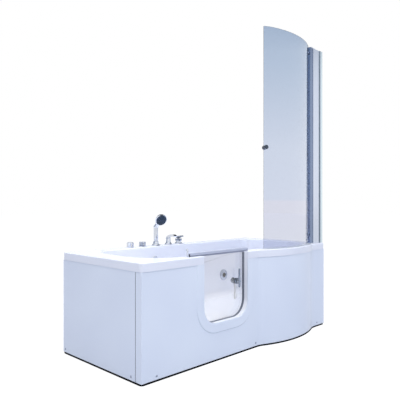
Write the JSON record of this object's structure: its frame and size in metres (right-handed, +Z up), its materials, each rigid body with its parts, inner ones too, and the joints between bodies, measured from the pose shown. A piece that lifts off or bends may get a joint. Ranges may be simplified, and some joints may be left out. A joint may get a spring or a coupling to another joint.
{
  "type": "walk-in bathtub",
  "caption": "White walk-in shower bath with a glass door in its front, five water jets, deck taps with a hand shower and a curved pivoting glass screen",
  "frame": {"origin": "the middle of the footprint, on the floor", "axes": "+X along the bath towards the screen end, +Y towards the back wall, +Z up"},
  "size_m": [1.7, 0.817, 2.014],
  "materials": {
    "acrylic": "sanitary acrylic, high gloss, white",
    "panel": "acrylic sheet panel, gloss, white",
    "dark_rubber": "matt black EPDM",
    "caps": "moulded caps",
    "timber": "sawn softwood",
    "board": "resin bonded chipboard",
    "frame_paint": "powder coated square tube",
    "zinc": "zinc plated steel",
    "chrome": "polished chrome plated brass",
    "door_glass": "toughened safety glass, clear",
    "rail_white": "white lacquered aluminium",
    "pipe": "white plastic waste and pressure pipe",
    "air_pipe": "grey plastic tube",
    "acetal": "white acetal, moulded",
    "dark_plastic": "dark acetal",
    "pump_paint": "dark enamel",
    "navy": "navy blue spray face",
    "brass": "bare brass back nuts",
    "aluminium": "bright anodised extrusion",
    "dark_gasket": "dark co-extruded gasket",
    "screen_glass": "toughened bent glass, clear",
    "clear_seal": "clear flexible drip seal"
  },
  "bodies": {
    "base": {"tub_shell": "acrylic", "front_panel": "panel", "end_panel": "panel", "base_strip": "dark_rubber", "panel_screws": "caps", "panel_blocks": "timber", "base_board": "board", "steel_frame": "frame_paint", "foot_studs": "zinc", "foot_pads": "dark_rubber", "door_seal": "dark_rubber", "hinge_rod": "chrome", "hinge_brackets": "chrome", "latch_keep": "chrome", "waste_flange": "chrome", "waste_trap": "pipe", "overflow_plate": "chrome", "overflow_pipe": "pipe", "jet_rings": "chrome", "jet_bodies": "pipe", "suction_cover": "chrome", "jet_pump": "pump_paint", "suction_pipe": "pipe", "water_pipes": "pipe", "air_pipes": "air_pipe", "button_ring": "chrome", "diverter_base": "chrome", "shower_holder": "chrome", "spout": "chrome", "mixer_body": "chrome", "deck_nuts": "brass", "wall_channel": "aluminium", "fixed_profile": "aluminium", "profile_cover": "dark_gasket", "pivot_brackets": "chrome"},
    "door": {"door_glass": "door_glass", "door_top_rail": "rail_white", "rail_gasket": "dark_rubber", "hinge_clamps": "chrome", "hinge_screws": "zinc", "latch_rose": "chrome"},
    "latch": {"latch_lever": "chrome", "latch_knob": "chrome", "latch_spindle": "acetal"},
    "screen": {"screen_glass": "screen_glass", "pivot_profile": "aluminium", "screen_seal": "clear_seal", "screen_knobs": "chrome", "screen_bolts": "dark_plastic"},
    "plug": {"waste_plug": "chrome"},
    "plug_control": {"overflow_knob": "chrome"},
    "jet_1": {"jet_ball_1": "dark_plastic"},
    "jet_2": {"jet_ball_2": "dark_plastic"},
    "jet_3": {"jet_ball_3": "dark_plastic"},
    "jet_4": {"jet_ball_4": "dark_plastic"},
    "jet_5": {"jet_ball_5": "dark_plastic"},
    "pump_button": {"air_button": "chrome"},
    "diverter": {"diverter_knob": "chrome"},
    "shower": {"hand_shower": "chrome", "shower_face": "navy"},
    "mixer_turn": {"mixer_cap": "chrome"},
    "mixer_tip": {"mixer_lever": "chrome"}
  },
  "joints": [
    {"name": "door_swing", "type": "hinge", "parent": "base", "child": "door", "pos_m": [-0.488, -0.2837, 0.4], "axis": [0, 0, 1], "range_deg": [0, 90]},
    {"name": "latch_turn", "type": "hinge", "parent": "door", "child": "latch", "pos_m": [-0.0824, -0.2895, 0.421], "axis": [0, 1, 0], "range_deg": [-90, 0]},
    {"name": "screen_pivot", "type": "hinge", "parent": "base", "child": "screen", "pos_m": [0.714, -0.3135, 1.3], "axis": [0, 0, 1], "range_deg": [-90, 90]},
    {"name": "plug_lift", "type": "slide", "parent": "base", "child": "plug", "axis": [0, 0, 1], "range_m": [0, 0.009]},
    {"name": "control_turn", "type": "hinge", "parent": "base", "child": "plug_control", "pos_m": [-0.2, 0.34282, 0.495], "axis": [0, -0.9992, 0.0404], "range_deg": [0, 90]},
    {"name": "button_press", "type": "slide", "parent": "base", "child": "pump_button", "axis": [0, 0, -1], "range_m": [0, 0.004], "stiffness_N_per_m": 1200},
    {"name": "diverter_turn", "type": "hinge", "parent": "base", "child": "diverter", "pos_m": [-0.276, 0.3775, 0.615], "axis": [0, 0, 1], "range_deg": [0, 90]},
    {"name": "shower_lift", "type": "slide", "parent": "base", "child": "shower", "axis": [0, 0, 1], "range_m": [0, 0.15]},
    {"name": "mixer_swivel", "type": "hinge", "parent": "base", "child": "mixer_turn", "pos_m": [0.054, 0.3775, 0.625], "axis": [0, 0, 1], "range_deg": [-45, 45]},
    {"name": "mixer_lift", "type": "hinge", "parent": "mixer_turn", "child": "mixer_tip", "pos_m": [0.054, 0.3775, 0.6406], "axis": [-0.5736, -0.8192, 0], "range_deg": [0, 15]},
    {"name": "jet_1_aim", "type": "hinge", "parent": "base", "child": "jet_1", "pos_m": [-0.43, 0.33815, 0.32992], "axis": [1, 0, 0], "range_deg": [-15, 15]},
    {"name": "jet_2_aim", "type": "hinge", "parent": "base", "child": "jet_2", "pos_m": [0.03, 0.33815, 0.32992], "axis": [1, 0, 0], "range_deg": [-15, 15]},
    {"name": "jet_3_aim", "type": "hinge", "parent": "base", "child": "jet_3", "pos_m": [0.49, 0.33815, 0.32992], "axis": [1, 0, 0], "range_deg": [-15, 15]},
    {"name": "jet_4_aim", "type": "hinge", "parent": "base", "child": "jet_4", "pos_m": [0.78165, -0.0415, 0.32992], "axis": [0, 1, 0], "range_deg": [-15, 15]},
    {"name": "jet_5_aim", "type": "hinge", "parent": "base", "child": "jet_5", "pos_m": [0.78165, 0.1385, 0.32992], "axis": [0, 1, 0], "range_deg": [-15, 15]}
  ],
  "couplings": [
    {"joint": "plug_lift", "follows": "control_turn", "m_per_rad": 0.00573}
  ]
}
